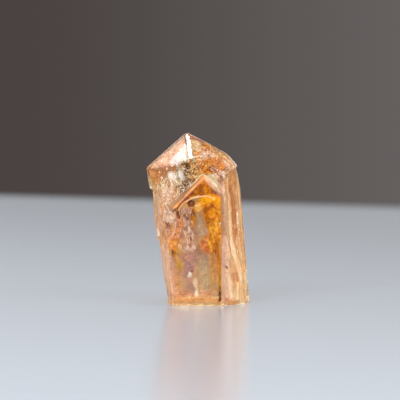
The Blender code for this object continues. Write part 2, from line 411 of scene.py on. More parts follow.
stain_cloud = bpy.data.node_groups.new("stain_cloud", "ShaderNodeTree")
for label in ("Scale", "Grain", "Hairs", "Stretch", "Cover", "Rim", "Strength"):
    stain_cloud.interface.new_socket(label, in_out="INPUT", socket_type="NodeSocketFloat")
for label in ("Share", "Cover"):
    stain_cloud.interface.new_socket(label, in_out="OUTPUT", socket_type="NodeSocketFloat")
asked = stain_cloud.nodes.new("NodeGroupInput").outputs
given = stain_cloud.nodes.new("NodeGroupOutput").inputs
place = along_growth(stain_cloud, asked["Stretch"])
cloud = add_node(
    stain_cloud, "TexNoise", Vector=place, Scale=asked["Scale"], Detail=5.0, Roughness=0.65)
grain = add_node(stain_cloud, "TexNoise", Vector=place, Scale=6.0, Detail=2.0, Roughness=0.6)
grain = sums(stain_cloud, "SUBTRACT", grain.outputs["Fac"], 0.5)
share = sums(stain_cloud, "MULTIPLY_ADD", grain, asked["Grain"], cloud.outputs["Fac"])
ridged = {"noise_type": "RIDGED_MULTIFRACTAL", "normalize": False}
hairs = add_node(
    stain_cloud, "TexNoise", ridged, Vector=place, Scale=1.6, Detail=3.0, Roughness=0.7,
    Lacunarity=2.2, Offset=0.8, Gain=2.0, Distortion=0.4)
hairs = rising(stain_cloud, hairs.outputs["Fac"], 0.7, 1.6)
share = sums(stain_cloud, "MULTIPLY_ADD", hairs, asked["Hairs"], share)
stain_cloud.links.new(rising(stain_cloud, share, 0.25, 0.75), given["Share"])
inward = add_node(stain_cloud, "Attribute", {"attribute_name": "inward"}).outputs["Fac"]
speckle = add_node(stain_cloud, "TexNoise", Vector=place, Scale=2.2, Detail=6.0, Roughness=0.7)
speckle = sums(stain_cloud, "MULTIPLY_ADD", speckle.outputs["Fac"], 2.6, -1.3)
total = sums(stain_cloud, "ADD", sums(stain_cloud, "ADD", speckle, inward), asked["Cover"])
spotted = rising(stain_cloud, total, 0.0, 1.0)
rimmed = rising(stain_cloud, inward, 0.0, asked["Rim"])
cover = sums(stain_cloud, "MULTIPLY", spotted, rimmed)
stain_cloud.links.new(sums(stain_cloud, "MULTIPLY", cover, asked["Strength"]), given["Cover"])


def stain_material(name, colours, scale=1.2, grain=0.5, hairs=0.0, stretch=1.0, cover=0.0,
                   clear=0.5, rim=0.3, strength=1.0):
    """Stain that varies through its colours, dark to pale, and thins out in spots."""
    material = bpy.data.materials.new(name)
    material.use_nodes = True
    tree = material.node_tree
    surface = tree.nodes["Principled BSDF"]
    stain = add_node(
        tree, "Group", {"node_tree": stain_cloud}, Scale=scale, Grain=grain, Hairs=hairs,
        Stretch=stretch, Cover=cover, Rim=rim, Strength=strength)
    ramp = add_node(tree, "ValToRGB", Fac=stain.outputs["Share"])
    stops = ramp.color_ramp.elements
    for _ in colours[2:]:
        stops.new(0.5)
    for index, colour in enumerate(colours):
        stops[index].position = index / (len(colours) - 1)
        stops[index].color = paint(*colour)
    tree.links.new(ramp.outputs["Color"], surface.inputs["Base Color"])
    tree.links.new(stain.outputs["Cover"], surface.inputs["Alpha"])
    surface.inputs["Roughness"].default_value = 0.4
    surface.inputs["Transmission Weight"].default_value = clear
    surface.inputs["IOR"].default_value = 1.15
    tint = add_node(
        tree, "Mix", {"data_type": "RGBA"}, A=(1.0, 1.0, 1.0, 1.0), B=ramp.outputs["Color"],
        Factor=sums(tree, "MULTIPLY", stain.outputs["Cover"], 0.5))
    open_film = add_node(tree, "BsdfTransparent", Color=tint.outputs["Result"])
    let_lamps_through(tree, surface.outputs["BSDF"], open_film.outputs["BSDF"])
    return material


rust = stain_material(
    "rust_stain", [(65, 32, 0), (150, 82, 0), (200, 122, 0), (232, 158, 0), (250, 200, 55)],
    grain=0.4, hairs=0.08, cover=1.0, clear=0.5, rim=0.15)
gold = stain_material(
    "gold_stain", [(200, 120, 0), (225, 150, 0), (240, 172, 0), (250, 190, 10), (255, 220, 70)],
    grain=0.2, cover=0.9, clear=0.45)
ochre = stain_material(
    "ochre_stain", [(110, 62, 0), (200, 126, 0), (222, 152, 10), (242, 180, 40), (255, 225, 130)],
    scale=1.6, grain=0.55, hairs=0.12, stretch=3.0, cover=0.8, clear=0.5, rim=0.3)
glint = stain_material(
    "glint_stain", [(225, 165, 60), (240, 188, 100), (250, 210, 140)],
    grain=0.4, cover=0.8, clear=0.4, rim=0.2)
rose = stain_material(
    "rose_stain", [(165, 88, 38), (228, 142, 76), (246, 170, 104), (252, 195, 132), (255, 230, 192)],
    scale=1.4, grain=0.7, stretch=1.5, cover=0.4, clear=0.65, rim=0.8, strength=0.8)

amber = stain_material(
    "amber_stain", [(175, 105, 10), (212, 142, 35), (235, 170, 70), (250, 202, 115)],
    scale=1.0, grain=0.2, stretch=8.0, cover=0.5, clear=0.6, rim=0.5, strength=0.8)
orange = stain_material(
    "orange_stain", [(115, 60, 0), (180, 104, 0), (208, 130, 0), (230, 155, 25), (250, 200, 100)],
    scale=1.6, grain=0.8, hairs=0.12, cover=0.9, clear=0.45, rim=0.4)
peach = stain_material(
    "peach_stain", [(140, 72, 15), (188, 112, 38), (210, 136, 60), (235, 175, 108)],
    scale=1.6, grain=0.6, hairs=0.1, cover=0.6, clear=0.6, rim=0.5)
honey = stain_material(
    "honey_stain", [(182, 124, 60), (210, 152, 88), (225, 172, 112), (242, 202, 150)],
    scale=0.8, grain=0.15, stretch=2.0, cover=1.0, clear=0.6, rim=0.5, strength=0.8)
straw = stain_material(
    "straw_stain", [(190, 135, 60), (218, 165, 90), (238, 192, 125), (250, 215, 160)],
    scale=1.4, grain=0.3, stretch=10.0, cover=0.6, clear=0.6, rim=0.8, strength=0.65)
straw_gold = stain_material(
    "straw_gold_stain", [(160, 100, 20), (225, 160, 55), (246, 190, 95), (255, 220, 145)],
    scale=1.8, grain=0.8, hairs=0.1, stretch=2.0, cover=0.4, clear=0.6, rim=0.7)
olive = stain_material(
    "olive_stain", [(190, 150, 50), (215, 176, 80), (235, 200, 118)],
    scale=1.0, grain=0.3, cover=0.5, clear=0.6, rim=0.8, strength=0.85)
crack_film("arch_rust", rust,
           [(0.6, 14.55), (-0.3, 13.8), (-1.3, 12.95), (-2.2, 12.1), (-3.0, 11.2), (-2.6, 10.6),
            (-1.6, 11.4), (-0.8, 12.0), (0.1, 12.3), (0.9, 12.3), (1.7, 12.1), (2.5, 11.6),
            (2.65, 12.6), (2.0, 13.5), (1.3, 14.2)],
           PLATE, depth=0.5)
crack_film("arch_gold", gold,
           [(-0.1, 12.2), (0.9, 12.8), (1.9, 12.8), (2.6, 12.4), (2.6, 11.1), (1.6, 11.1), (0.8, 11.3),
            (-0.1, 11.3)],
           PLATE, depth=0.35, seed=4.0)
crack_film("arch_disc", rust,
           [(0.4, 11.3), (1.1, 11.7), (1.7, 11.6), (2.3, 10.9), (2.0, 9.8), (1.2, 9.8), (0.6, 10.5)],
           PLATE, depth=0.3, ragged=0.08, seed=5.0)
crack_film("gold_glint", glint,
           [(-0.4, 11.5), (0.3, 11.8), (0.6, 11.1), (0.1, 10.6), (-0.5, 10.9)],
           PLATE, depth=0.3, ragged=0.05, seed=6.0)
crack_film("edge_stain", ochre,
           [(0.3, 10.75), (0.7, 11.35), (1.75, 11.6), (2.5, 11.8), (2.7, 10.6), (2.65, 9.0),
            (2.6, 7.45), (2.6, 5.6), (2.55, 3.8), (2.3, 3.9), (2.15, 5.0), (1.9, 5.9), (1.35, 6.1),
            (0.95, 6.8), (1.05, 7.9), (0.95, 8.6), (0.8, 9.3), (0.5, 10.0)],
           PLATE, depth=0.5, seed=2.0)
crack_film("edge_patch", amber,
           [(1.5, 10.4), (2.65, 10.3), (2.65, 7.5), (1.7, 7.7)],
           PLATE, depth=0.75, seed=78.0)
crack_film("edge_line", amber,
           [(1.95, 7.7), (2.4, 7.7), (2.55, 4.95), (2.62, 2.9), (2.65, 1.4), (2.3, 1.4), (2.2, 3.5),
            (2.05, 5.4)],
           PLATE, depth=0.3, crumple=0.06, ragged=0.1, step=0.08, seed=7.0)
crack_film("rose_stain", rose,
           [(-0.1, 7.6), (0.7, 8.5), (1.5, 8.3), (1.8, 7.1), (1.7, 5.9), (0.7, 5.6), (-0.3, 6.3)],
           PLATE, depth=0.75, seed=8.0)
crack_film("low_stain", straw,
           [(0.8, 6.65), (1.85, 6.9), (2.1, 4.95), (2.2, 2.3), (1.6, 2.3), (1.2, 4.6)],
           PLATE, depth=0.9, seed=9.0)
crack_film("left_stain", rose,
           [(-4.1, 9.5), (-3.2, 9.7), (-2.5, 9.3), (-1.8, 9.8), (-1.5, 8.3), (-1.8, 6.7), (-3.0, 5.9),
            (-3.9, 7.1)],
           PLATE, depth=0.6, seed=10.0)
crack_film("left_ochre", straw_gold,
           [(-3.9, 7.7), (-2.2, 7.8), (-2.0, 6.4), (-2.4, 4.8), (-3.5, 5.9)],
           PLATE, depth=0.5, seed=11.0)
crack_film("gold_spot", olive,
           [(-2.6, 5.5), (-2.15, 5.6), (-1.8, 5.1), (-1.75, 4.2), (-2.0, 3.5), (-2.4, 3.8),
            (-2.6, 4.5)],
           PLATE, depth=0.6, seed=12.0)
crack_film("red_streak", rose,
           [(-2.5, 10.5), (-1.9, 10.6), (-1.6, 9.3), (-1.7, 8.3), (-2.4, 8.9)],
           PLATE, depth=0.5, seed=13.0)
crack_film("small_stain", ochre,
           [(-0.7, 11.0), (-0.2, 11.3), (-0.2, 9.9), (-0.6, 8.7), (-1.0, 9.9)],
           PLATE, depth=0.45, ragged=0.05, seed=14.0)
crack_film("shoulder_stain", honey,
           [(-5.9, 15.4), (-4.5, 15.5), (-4.2, 14.4), (-4.7, 13.4), (-5.6, 13.8)],
           FRONT_LEFT, depth=0.35, seed=15.0)
crack_film("ledge_left", ochre,
           [(-3.08, 11.05), (-2.04, 12.13), (-0.89, 13.29), (0.37, 14.75), (0.6, 14.93), (0.71, 14.34),
            (-0.32, 13.46), (-1.46, 12.32), (-2.48, 11.04)],
           GABLE_LEFT, depth=0.05, crumple=0.02, ragged=0.03, step=0.07, seed=81.0)
crack_film("point_stain", orange,
           [(-0.3, 16.2), (0.6, 16.7), (1.8, 16.9), (3.0, 16.3), (3.2, 15.4), (2.6, 14.9), (1.6, 14.8),
            (0.2, 14.9), (-0.2, 15.6)],
           FRONT, depth=0.7, crumple=0.25, seed=86.0)
crack_film("top_stain", orange,
           [(0.3, 18.5), (1.1, 18.5), (1.9, 17.8), (1.6, 17.2), (0.9, 17.4), (0.4, 17.7)],
           TOP_RIGHT, depth=0.15, seed=16.0)
crack_film("ridge_stain", orange,
           [(-0.4, 17.3), (0.0, 17.95), (0.4, 17.6), (0.5, 16.8), (0.25, 16.2), (-0.25, 16.4)],
           TOP_RIGHT, depth=0.15, seed=17.0)
crack_film("front_stain", orange,
           [(-0.1, 15.4), (0.25, 16.3), (0.85, 16.85), (1.75, 16.65), (2.0, 15.85), (1.65, 14.95),
            (0.7, 14.7), (0.0, 14.6)],
           FRONT, depth=0.3, seed=18.0)
crack_film("crest_stain", peach,
           [(1.5, 16.9), (2.6, 16.7), (3.4, 15.85), (3.0, 14.95), (1.75, 14.95), (1.4, 15.8)],
           FRONT, depth=0.35, seed=19.0)
crack_film("upper_crest_stain", orange,
           [(0.9, 17.2), (1.9, 17.7), (2.6, 17.0), (3.1, 16.4), (2.2, 16.2), (1.0, 16.4)],
           TOP_RIGHT, depth=0.35, seed=29.0)

# ------------------------------------------------------------------ hazes
# Clouds of bubbles too fine to see, of water and gas that the stone shut in as it grew. They
# lie in clear topaz, some of them deep in it, and blur and tint what lies behind them.
window = stain_material(
    "window_haze", [(170, 152, 172), (196, 174, 190), (212, 188, 186), (216, 200, 180),
        (236, 213, 186)],
    scale=0.45, grain=0.05, stretch=1.5, cover=2.0, clear=0.6, rim=0.1)
lilac_glass = stain_material(
    "lilac_glass", [(180, 148, 182), (205, 170, 195), (225, 188, 205)],
    scale=0.6, grain=0.1, cover=1.0, clear=0.6, rim=1.0, strength=0.35)
grey_glass = stain_material(
    "grey_glass", [(180, 175, 172), (202, 196, 188), (225, 214, 202)],
    scale=0.6, grain=0.1, stretch=2.0, cover=1.0, clear=0.6, rim=1.0, strength=0.5)
rosy = stain_material(
    "rosy_haze", [(208, 145, 112), (228, 170, 138), (242, 192, 160), (255, 215, 190)],
    scale=0.9, grain=0.4, stretch=2.0, cover=0.0, clear=0.6, rim=0.9, strength=0.6)
flank = stain_material(
    "flank_haze", [(195, 128, 75), (230, 176, 130), (246, 212, 175), (254, 238, 212), (255, 248, 235)],
    scale=1.6, grain=0.4, stretch=16.0, cover=0.5, clear=0.5, rim=0.15, strength=0.95)
haze = stain_material(
    "pink_haze", [(200, 145, 112), (225, 172, 140), (240, 198, 168), (255, 228, 208)],
    scale=1.0, grain=0.3, hairs=0.12, stretch=2.0, cover=0.4, clear=0.5, rim=0.06)
crest = stain_material(
    "crest_haze", [(185, 130, 75), (212, 162, 108), (230, 190, 140), (245, 220, 185)],
    scale=1.5, grain=0.3, hairs=0.15, stretch=2.0, cover=0.4, clear=0.6, rim=0.06, strength=0.7)
strip = stain_material(
    "strip_haze", [(185, 145, 112), (210, 175, 145), (226, 195, 168), (242, 215, 190)],
    scale=1.5, grain=0.3, hairs=0.05, stretch=8.0, cover=0.8, clear=0.5, rim=0.4)
lilac = stain_material(
    "lilac_haze", [(212, 172, 152), (232, 198, 178), (245, 218, 202), (255, 238, 225)],
    scale=1.5, grain=0.2, hairs=0.05, stretch=10.0, cover=0.8, clear=0.5, rim=0.4)
crack_film("window_haze", window,
           [(-3.2, 10.8), (-1.6, 12.6), (0.2, 13.6), (2.0, 12.4), (2.3, 8.0), (2.2, 1.0), (-2.9, 1.0),
            (-3.2, 5.0)],
           PLATE, depth=2.6, crumple=0.2, waves=0.5, step=0.2, seed=50.0)
crack_film("lilac_window", lilac_glass,
           [(-2.3, 7.6), (-0.9, 7.8), (0.0, 6.2), (0.0, 3.4), (-0.9, 2.0), (-2.0, 3.35)],
           PLATE, depth=1.4, seed=53.0)
crack_film("grey_window", grey_glass,
           [(-0.2, 6.0), (1.05, 6.2), (1.6, 3.95), (1.4, 1.3), (0.25, 1.3), (-0.2, 3.4)],
           PLATE, depth=1.4, seed=54.0)
crack_film("upper_window", grey_glass,
           [(-0.45, 10.5), (0.6, 10.6), (1.05, 9.1), (0.95, 7.6), (0.0, 7.4), (-0.45, 8.8)],
           PLATE, depth=1.0, seed=55.0)
crack_film("arch_window", lilac_glass,
           [(-1.95, 11.3), (-1.1, 11.5), (-0.45, 11.05), (-0.25, 10.15), (-0.9, 9.7), (-1.7, 9.8)],
           PLATE, depth=0.8, seed=60.0)
crack_film("left_rosy_haze", rosy,
           [(-3.9, 4.9), (-3.0, 5.3), (-2.0, 4.9), (-1.6, 3.4), (-1.3, 1.7), (-1.5, 0.65), (-3.5, 0.65),
            (-3.75, 2.2)],
           PLATE, depth=1.0, seed=56.0)
crack_film("foot_rosy_haze", rosy,
           [(-3.6, 1.7), (-2.0, 2.4), (-0.3, 2.0), (1.2, 2.4), (2.1, 2.0), (2.2, 0.4), (-0.3, 0.35),
            (-3.4, 0.4)],
           PLATE, depth=0.5, seed=57.0)
crack_film("flank_haze", flank,
           [(3.6, 13.05), (4.05, 13.7), (4.65, 13.4), (4.9, 11.2), (5.25, 7.75), (5.55, 3.7),
            (5.65, 0.4), (3.8, 0.45), (3.7, 3.95), (3.6, 7.9)],
           RIGHT_FRONT, depth=0.45, crumple=0.1, waves=0.5, step=0.12, seed=51.0)
crack_film("shoulder_haze", honey,
           [(3.25, 15.1), (3.95, 15.5), (4.55, 15.0), (4.8, 13.9), (4.8, 12.5), (3.5, 12.6)],
           RIGHT_FRONT, depth=0.5, seed=58.0)
crack_film("point_haze", haze,
           [(-5.65, 15.65), (-4.35, 16.9), (-3.0, 18.05), (-1.65, 19.3), (-1.5, 18.5), (-1.4, 16.85),
            (-2.5, 16.2), (-3.45, 15.95), (-4.35, 15.7)],
           TOP_LEFT, depth=0.25, crumple=0.06, seed=37.0)
crack_film("crest_haze", crest,
           [(-1.1, 19.2), (0.25, 18.75), (1.85, 17.75), (3.25, 16.85), (4.25, 15.75), (3.5, 15.5),
            (1.9, 16.8), (0.25, 17.25), (-0.9, 16.8), (-1.05, 18.0)],
           TOP_RIGHT, depth=0.5, crumple=0.06, seed=97.0)
crack_film("gable_haze", lilac,
           [(2.2, 14.4), (2.8, 14.1), (3.0, 13.4), (3.1, 12.0), (2.9, 11.0), (2.8, 12.7)],
           FRONT, depth=0.35, seed=43.0)
crack_film("strip_haze", strip,
           [(2.4, 13.8), (3.25, 13.75), (3.6, 10.2), (3.7, 6.8), (2.66, 6.6), (2.5, 10.25)],
           FRONT_RIGHT, depth=0.3, seed=44.0)
crack_film("low_strip_haze", lilac,
           [(2.66, 7.9), (3.55, 7.85), (3.8, 4.0), (3.95, 0.3), (2.6, 0.3), (2.65, 4.0)],
           FRONT_RIGHT, depth=0.2, seed=83.0)
crack_film("left_side_haze", strip,
           [(-5.15, 12.6), (-4.5, 12.6), (-4.25, 10.0), (-4.2, 8.6), (-4.7, 8.6), (-5.0, 10.5)],
           FRONT_LEFT, depth=0.15, crumple=0.03, ragged=0.05, seed=79.0)
crack_film("low_side_haze", strip,
           [(-4.35, 6.7), (-3.9, 6.7), (-3.6, 3.8), (-3.2, 0.5), (-3.45, 0.35), (-4.05, 4.2)],
           PLATE_LEFT, depth=0.12, crumple=0.03, ragged=0.05, seed=88.0)
crack_film("flank_band", honey,
           [(3.6, 13.65), (4.1, 13.7), (4.45, 11.25), (4.65, 8.15), (4.45, 7.0), (4.1, 8.15),
            (3.85, 11.3)],
           RIGHT_FRONT, depth=0.3, crumple=0.05, seed=99.0)

# ------------------------------------------------------------------ brown veils
# Healed cracks full of hairs and specks of a dark mineral, left by the water that ran through
# them. The short dark lines and dots are small cracks of the same kind, save the dark line along the
# arch's left limb, which is painted shade under the ledge.
brown = stain_material(
    "brown_veil", [(104, 62, 20), (166, 116, 54), (208, 158, 90), (236, 192, 130), (255, 236, 198)],
    scale=2.0, grain=0.9, hairs=-0.25, cover=0.4, clear=0.5)
# Dark mineral stains. Along the arch's left limb the same material is painted shade.
dark = stain_material(
    "dark_stain_and_painted_shade", [(60, 30, 10), (110, 60, 20), (160, 95, 35), (200, 130, 70)],
    scale=3.0, grain=0.8, cover=0.3, clear=0.3)
crack_film("left_veil", brown,
           [(-2.2, 16.1), (-1.6, 16.6), (-1.0, 16.5), (-0.9, 15.2), (-0.8, 13.8), (-1.3, 13.0),
            (-1.7, 12.2), (-2.3, 12.4), (-2.2, 13.6), (-1.8, 14.6), (-2.1, 15.4)],
           FRONT_LEFT, depth=0.4, crumple=0.15, waves=3.0, seed=20.0)
crack_film("front_veil", brown,
           [(-1.0, 16.5), (-0.1, 16.4), (0.3, 15.2), (0.0, 14.2), (-0.7, 13.7), (-0.9, 15.2)],
           FRONT, depth=0.4, crumple=0.15, waves=3.0, seed=21.0)
crack_film("low_veil", brown,
           [(-1.6, 13.3), (-0.9, 13.9), (-0.9, 13.1), (-1.6, 12.15), (-2.1, 11.9), (-1.95, 12.6)],
           FRONT_LEFT, depth=0.3, seed=64.0)
crack_film("arch_shade", dark,
           [(-1.5, 11.8), (-0.8, 12.2), (-0.2, 11.8), (-0.3, 11.1), (-1.1, 11.1)],
           PLATE, depth=0.5, seed=22.0)
# Painted shade: a dark line that stands in for the shadow under the ledge along the arch's left limb.
crack_film("limb_line", dark,
           [(-3.15, 10.95), (-2.3, 11.9), (-1.1, 13.0), (-0.1, 13.8), (0.0, 13.6), (-1.1, 12.65),
            (-2.2, 11.5), (-2.9, 10.5)],
           PLATE, depth=0.3, crumple=0.05, ragged=0.05, step=0.08, seed=23.0)
crack_film("right_limb_line", dark,
           [(0.9, 14.35), (1.6, 13.8), (2.6, 12.7), (2.65, 12.4), (1.5, 13.6), (0.8, 14.2)],
           PLATE, depth=0.25, crumple=0.04, ragged=0.04, step=0.08, seed=27.0)
crack_film("foot_line", dark,
           [(2.3, 2.1), (2.5, 2.2), (2.7, 1.55), (2.6, 0.4), (2.3, 0.4), (2.35, 1.2)],
           PLATE, depth=0.3, crumple=0.05, ragged=0.05, step=0.08, seed=24.0)
crack_film("apex_spot", dark,
           [(-1.05, 19.1), (-0.85, 19.15), (-0.8, 18.85), (-1.0, 18.75)],
           TOP_RIGHT, depth=0.1, crumple=0.02, ragged=0.02, step=0.05, seed=89.0)
crack_film("strip_dash", dark,
           [(3.1, 4.5), (3.25, 4.6), (3.65, 4.15), (3.6, 3.95)],
           FRONT_RIGHT, depth=0.2, crumple=0.02, ragged=0.02, step=0.06, seed=59.0)
crack_film("left_crack", dark,
           [(-3.0, 6.6), (-2.88, 6.7), (-2.72, 6.0), (-2.9, 5.3), (-2.98, 5.7)],
           PLATE, depth=0.35, ragged=0.04, step=0.05, seed=62.0)
crack_film("small_dot", dark,
           [(-0.8, 4.05), (-0.5, 4.15), (-0.5, 3.85), (-0.7, 3.8)],
           PLATE, depth=0.3, crumple=0.02, ragged=0.03, step=0.05, seed=63.0)
crack_film("upper_spot", dark,
           [(-2.5, 10.9), (-1.9, 10.9), (-1.9, 10.1), (-2.2, 9.7), (-2.5, 10.2)],
           PLATE, depth=0.35, ragged=0.05, seed=25.0)
crack_film("lower_spot", dark,
           [(-3.8, 9.6), (-3.2, 9.5), (-3.0, 8.6), (-3.7, 8.7)],
           PLATE, depth=0.35, ragged=0.05, seed=26.0)

# ------------------------------------------------------------------ foot stains
# Where the crystal broke off its rock: iron-bearing water crept in along the break and left
# a thin tan film close behind the faces, just above the foot.
foot = stain_material(
    "foot_stain", [(190, 120, 70), (228, 162, 105), (244, 188, 135), (254, 215, 175)],
    scale=1.8, grain=0.5, cover=0.4, clear=0.7, rim=1.0, strength=0.4)
crack_film("foot_edge", foot,
           [(-3.6, 1.5), (-2.6, 1.6), (-0.3, 1.5), (1.6, 1.6), (2.3, 1.4), (2.35, 0.12), (-0.3, 0.1),
            (-3.35, 0.12)],
           PLATE, depth=0.15, crumple=0.03, step=0.08, seed=28.0)
BASE = (Vector((0.0, -0.03, 0.9995)), Vector((1.0, -4.4, 0.06)))
crack_film("base_stain", foot,
           [(-3.2, 0.07), (4.9, 0.07), (5.0, 0.2), (3.0, 0.26), (-2.0, 0.26), (-3.3, 0.2)],
           BASE, depth=0.0, crumple=0.0, ragged=0.0, step=0.05, seed=65.0)
crack_film("foot_edge_right", foot,
           [(2.7, 1.05), (3.8, 1.1), (4.4, 0.9), (4.4, 0.12), (2.7, 0.12)],
           FRONT_RIGHT, depth=0.15, crumple=0.03, step=0.08, seed=61.0)

# ------------------------------------------------------------------ pale veils
# Healed cracks with nothing in them but air, milky and cream to pink-white. The long narrow
# ones follow the edges of the growth faces and show as bright lines. Some films here are painted
# highlights instead: the white glare on the left point face, two glints on the front-left face, the
# cream bands along the gable's right limb and at its peak, the bright line along the arch's left limb,
# and the butter lines along the right edge and between the right faces.
pale = stain_material(
    "pale_veil", [(135, 88, 62), (192, 142, 115), (218, 172, 145), (240, 210, 188), (255, 245, 235)],
    scale=1.4, grain=0.6, hairs=0.25, stretch=2.5, cover=0.0, clear=0.5, rim=0.5)
# Cream veils of air. On the gable's right face, along its right limb and at its peak, the same material
# is a painted highlight.
cream = stain_material(
    "cream_veil_and_painted_highlight", [(215, 178, 155), (235, 208, 188), (250, 235, 222), (255, 255, 250)],
    scale=1.5, grain=0.5, hairs=0.2, cover=0.4, clear=0.3, rim=0.8, strength=0.9)
striae = stain_material(
    "pale_striae", [(205, 150, 115), (235, 190, 160), (255, 225, 205), (255, 245, 238)],
    scale=1.6, grain=0.4, stretch=9.0, cover=-0.15, clear=0.5, rim=0.6, strength=0.6)
crack_film("left_pale", pale,
           [(-5.1, 13.0), (-3.9, 14.2), (-2.6, 14.6), (-2.1, 13.6), (-2.2, 12.4), (-3.3, 11.0),
            (-4.4, 10.7), (-5.2, 11.8)],
           FRONT_LEFT, depth=0.35, waves=3.0, seed=30.0)
crack_film("middle_pale", pale,
           [(-4.4, 11.1), (-3.0, 11.0), (-2.2, 10.5), (-2.2, 9.3), (-3.4, 9.0), (-4.3, 9.6)],
           PLATE, depth=0.3, waves=3.0, seed=31.0)
crack_film("side_pale", pale,
           [(-4.8, 10.9), (-4.2, 10.8), (-4.0, 9.1), (-3.4, 6.9), (-3.0, 4.9), (-3.4, 4.6), (-4.1, 7.3),
            (-4.7, 9.3)],
           PLATE_LEFT, depth=0.3, seed=32.0)
flecked = stain_material(
    "flecked_veil", [(118, 72, 58), (175, 124, 104), (204, 156, 132), (232, 196, 176), (255, 245, 238)],
    scale=1.4, grain=0.8, hairs=0.3, stretch=2.5, cover=0.2, clear=0.5, rim=0.5)
crack_film("centre_pale", flecked,
           [(-1.9, 10.7), (-1.0, 10.7), (-0.6, 9.5), (-0.7, 8.0), (-0.1, 7.1), (-0.3, 6.0), (-1.6, 6.1),
            (-1.5, 7.4), (-2.0, 8.6)],
           PLATE, depth=0.6, waves=3.0, seed=33.0)
crack_film("left_chip", cream,
           [(-4.9, 8.7), (-4.5, 8.6), (-4.4, 7.7), (-4.7, 7.6)],
           PLATE_LEFT, depth=0.2, crumple=0.03, ragged=0.03, step=0.08, seed=49.0)
crack_film("low_fleck", cream,
           [(-1.2, 3.8), (-0.9, 4.0), (-0.6, 3.6), (-0.9, 3.1), (-1.3, 3.2)],
           PLATE, depth=0.35, ragged=0.05, seed=34.0)
crack_film("foot_fleck", cream,
           [(-0.7, 2.7), (-0.4, 3.2), (-0.1, 3.2), (0.0, 2.7), (0.1, 1.5), (0.3, 0.9), (-0.4, 0.9),
            (-0.5, 1.4), (-0.3, 1.8)],
           PLATE, depth=0.35, ragged=0.05, seed=35.0)
# Painted highlight: white films close under the surface stand in for the glare on the left point face
# and for two small glints on the front-left face.
glare = stain_material(
    "point_painted_glare", [(225, 195, 180), (238, 220, 212), (250, 243, 243), (255, 255, 255)],
    scale=1.2, grain=0.3, hairs=0.06, stretch=2.0, cover=0.3, clear=0.3, rim=0.6, strength=0.9)
crack_film("point_painted_glare", glare,
           [(-1.54, 18.9), (-1.15, 17.65), (-1.15, 16.8), (-1.8, 16.35), (-2.5, 15.85), (-3.2, 15.72),
            (-3.45, 16.4), (-2.9, 17.2), (-2.2, 18.0)],
           TOP_LEFT, depth=0.2, ragged=0.25, seed=36.0)
crack_film("left_painted_glint", glare,
           [(-3.65, 15.3), (-3.15, 15.35), (-2.5, 15.0), (-2.5, 14.0), (-3.15, 13.9), (-3.65, 14.4)],
           FRONT_LEFT, depth=0.2, ragged=0.06, seed=38.0)
crack_film("right_painted_glint", glare,
           [(-2.4, 15.35), (-1.75, 15.3), (-1.4, 14.65), (-1.8, 14.05), (-2.35, 14.25)],
           FRONT_LEFT, depth=0.2, ragged=0.06, seed=39.0)
primrose = stain_material(
    "primrose_veil", [(178, 140, 92), (202, 168, 120), (220, 192, 148), (242, 220, 186)],
    scale=1.6, grain=0.7, hairs=0.15, cover=0.4, clear=0.6, rim=0.7, strength=0.9)
crack_film("ridge_cream", primrose,
           [(-0.85, 19.05), (0.0, 18.9), (0.6, 18.45), (0.5, 17.8), (0.0, 17.4), (-0.2, 16.95),
            (-0.75, 16.95)],
           TOP_RIGHT, depth=0.12, seed=40.0)
crack_film("flank_cream", pale,
           [(0.3, 17.6), (0.9, 17.7), (1.6, 17.0), (0.9, 16.4), (0.3, 16.6)],
           TOP_RIGHT, depth=0.25, seed=41.0)
# Painted highlight: a cream film just under the gable's right face, for the bright band of light it
# catches.
crack_film("ledge_right_painted_highlight", cream,
           [(0.6, 15.0), (1.4, 14.45), (2.21, 13.64), (2.73, 12.97), (2.6, 12.47), (1.74, 13.28),
            (0.71, 14.32)],
           GABLE_RIGHT, depth=0.05, crumple=0.02, ragged=0.03, step=0.07, seed=82.0)
# Painted highlight: a cream film for the white band of light along the gable's right limb.
crack_film("gable_painted_highlight", cream,
           [(0.7, 15.0), (1.1, 14.7), (1.7, 14.4), (2.3, 13.9), (2.2, 13.5), (1.4, 13.8), (0.6, 14.4)],
           FRONT, depth=0.3, ragged=0.05, seed=42.0)
# Butter-coloured streaks. Along the stone's right edge and the edge between the right faces they are
# painted highlights.
butter = stain_material(
    "butter_streak_and_painted_highlight", [(225, 175, 120), (245, 208, 155), (255, 228, 185), (255, 243, 215)],
    scale=1.2, grain=0.2, stretch=6.0, cover=0.8, clear=0.4, rim=0.5)
cream_streak = stain_material(
    "cream_streak", [(238, 195, 150), (252, 225, 190), (255, 240, 218), (255, 252, 242)],
    scale=1.2, grain=0.2, stretch=6.0, cover=0.8, clear=0.3, rim=0.6)
# Honey lines. The one along the arch's left limb is a painted highlight.
honey_line = stain_material(
    "honey_line", [(190, 130, 65), (222, 170, 105), (242, 200, 140), (255, 225, 175)],
    scale=2.0, grain=0.5, cover=0.8, clear=0.5, rim=0.3)
crack_film("side_streak", cream_streak,
           [(3.76, 8.3), (4.05, 7.6), (4.4, 6.4), (4.8, 4.75), (5.2, 2.7), (5.03, 2.0), (4.65, 3.2),
            (4.25, 4.85), (3.9, 6.0), (3.7, 7.15)],
           RIGHT_FRONT, depth=0.12, crumple=0.04, ragged=0.04, seed=45.0)
